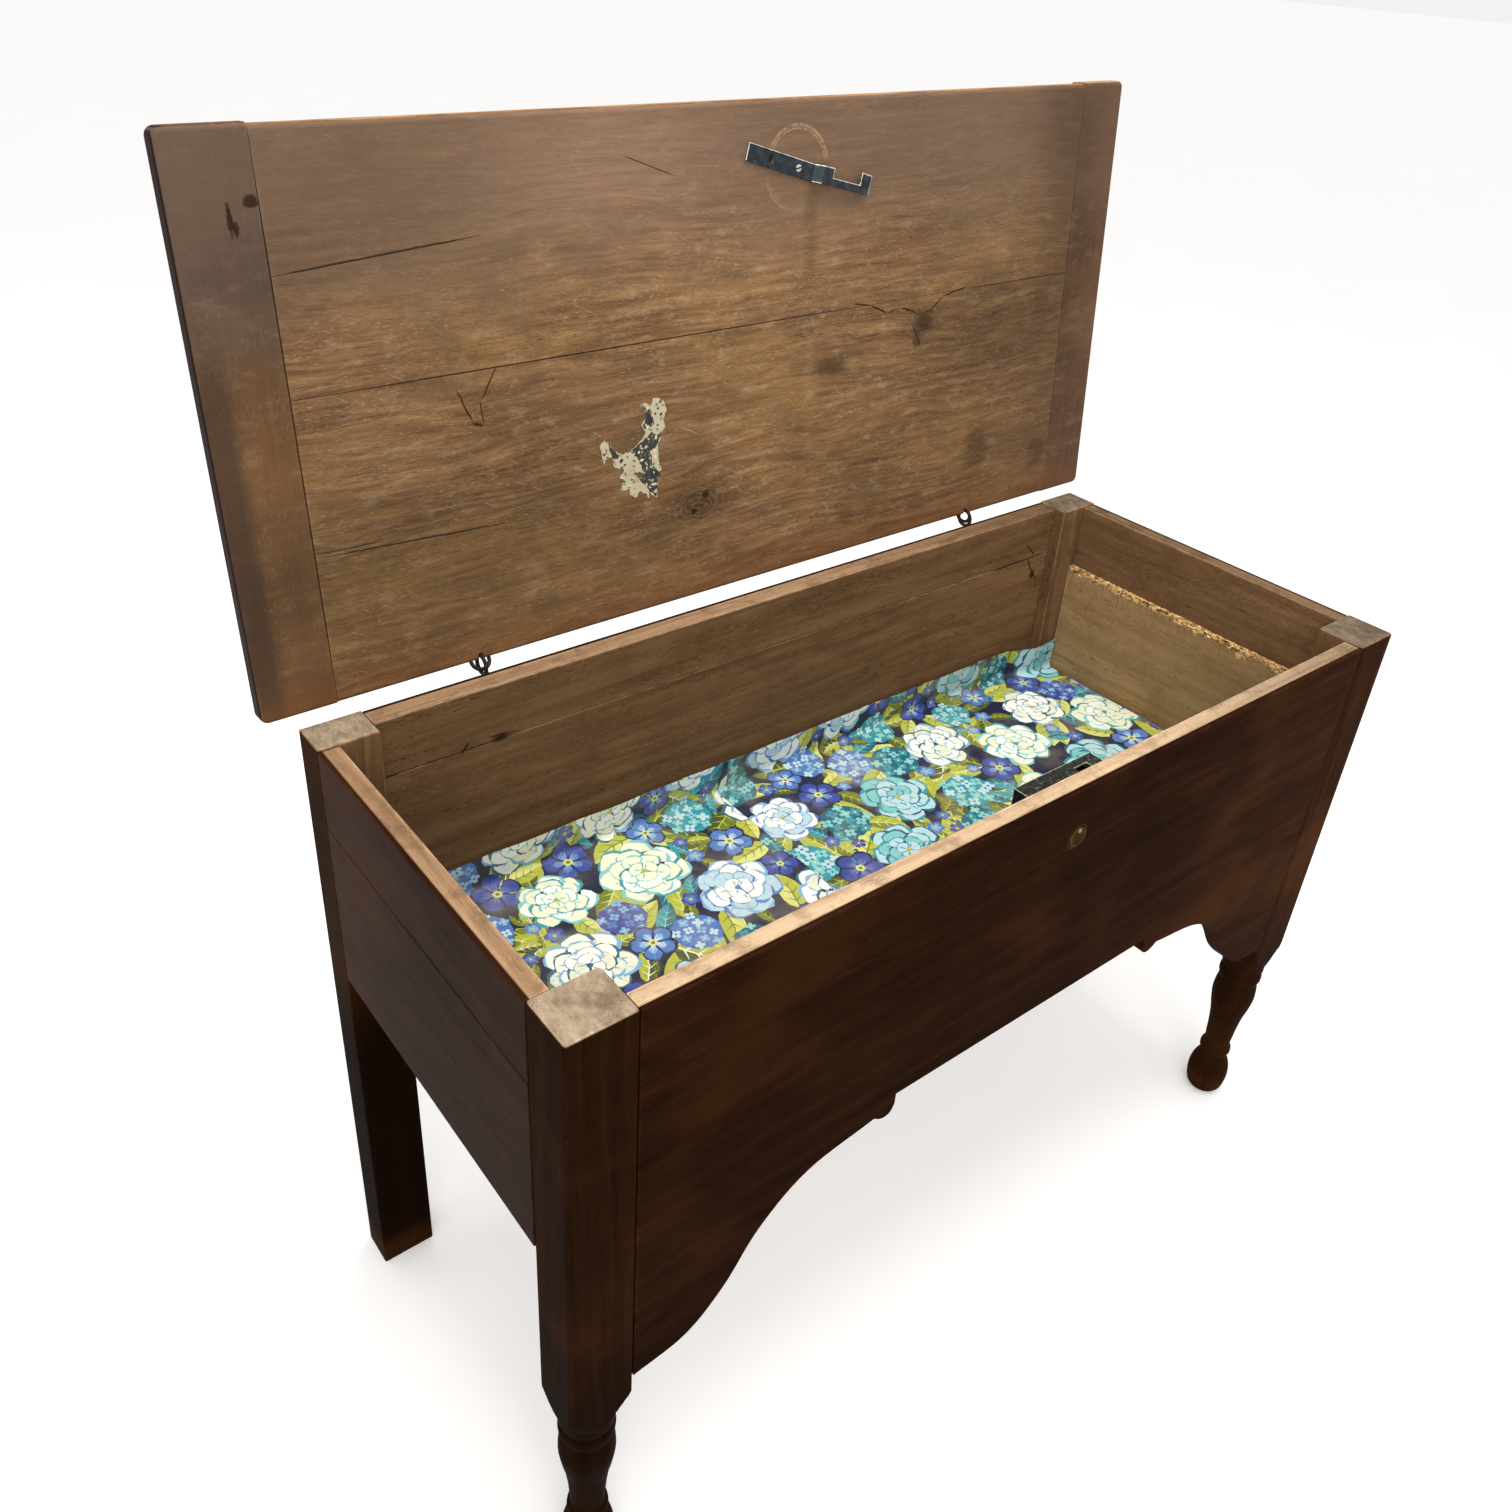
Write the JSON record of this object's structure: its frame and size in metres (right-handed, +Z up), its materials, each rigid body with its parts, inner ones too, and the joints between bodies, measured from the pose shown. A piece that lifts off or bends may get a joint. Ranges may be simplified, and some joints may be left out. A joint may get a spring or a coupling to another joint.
{
  "type": "sugar chest",
  "caption": "Long wooden chest on turned front legs and square rear legs, with an arched apron, a hinged breadboard lid shown open, a swivelling iron strap and a printed paper lining.",
  "frame": {"origin": "on the floor, under the middle of the box of the chest with its lid open", "axes": "+X along the chest's length to its right end as seen from the front, +Y from the front to the back, +Z up"},
  "size_m": [1.156, 0.5592, 1.2569],
  "materials": {
    "dark_wood": "old dark varnish, worn at the edges",
    "lid_wood": "oiled, worn",
    "deal": "unfinished, aged",
    "iron": "blackened, worn bright at the edges",
    "old_brass": "tarnished",
    "printed_paper": "matt, printed flowers on navy"
  },
  "bodies": {
    "case": {"front_left_post": "dark_wood", "front_right_post": "dark_wood", "rear_left_post": "dark_wood", "rear_right_post": "dark_wood", "front_top_rail": "dark_wood", "front_apron_panel": "dark_wood", "back_upper_board": "dark_wood", "back_lower_board": "dark_wood", "left_side_upper_board": "dark_wood", "left_side_lower_board": "dark_wood", "right_side_upper_board": "dark_wood", "right_side_lower_board": "dark_wood", "bottom_board_1": "deal", "bottom_board_2": "deal", "bottom_board_3": "deal", "front_cleat": "deal", "back_cleat": "deal", "left_cleat": "deal", "right_cleat": "deal", "cleat_nails": "iron", "left_case_eye": "iron", "right_case_eye": "iron", "lock_case": "iron", "lock_cover": "iron", "lock_bolt_guide": "iron", "lock_key_pin": "iron", "lock_ward": "iron", "lock_spring": "iron", "lock_screws": "iron", "keyhole_plate": "old_brass", "keyhole_plate_pins": "old_brass", "keyhole_cover_pin": "old_brass", "paper_liner_left": "printed_paper", "paper_liner_right": "printed_paper"},
    "lid": {"lid_rear_board": "lid_wood", "lid_front_board": "lid_wood", "lid_left_breadboard": "lid_wood", "lid_right_breadboard": "lid_wood", "left_lid_eye": "iron", "right_lid_eye": "iron", "strap_screw": "iron"},
    "strap": {"lid_strap": "iron"},
    "bolt": {"lock_bolt": "iron"},
    "key_cover": {"keyhole_cover": "old_brass"}
  },
  "joints": [
    {"name": "lid_hinge", "type": "hinge", "parent": "case", "child": "lid", "pos_m": [0, 0.21053, 0.7435], "axis": [1, 0, 0], "range_deg": [0, 95.3]},
    {"name": "strap_swivel", "type": "hinge", "parent": "lid", "child": "strap", "pos_m": [0.0555, 0.25182, 1.18959], "axis": [0, -0.9957, 0.0924], "range_deg": [-150, 16]},
    {"name": "lock_bolt_slide", "type": "slide", "parent": "case", "child": "bolt", "axis": [1, 0, 0], "range_m": [0, 0.012]},
    {"name": "keyhole_cover_swing", "type": "hinge", "parent": "case", "child": "key_cover", "pos_m": [0.01, -0.27736, 0.691], "axis": [0, 1, 0], "range_deg": [-120, 120]}
  ]
}
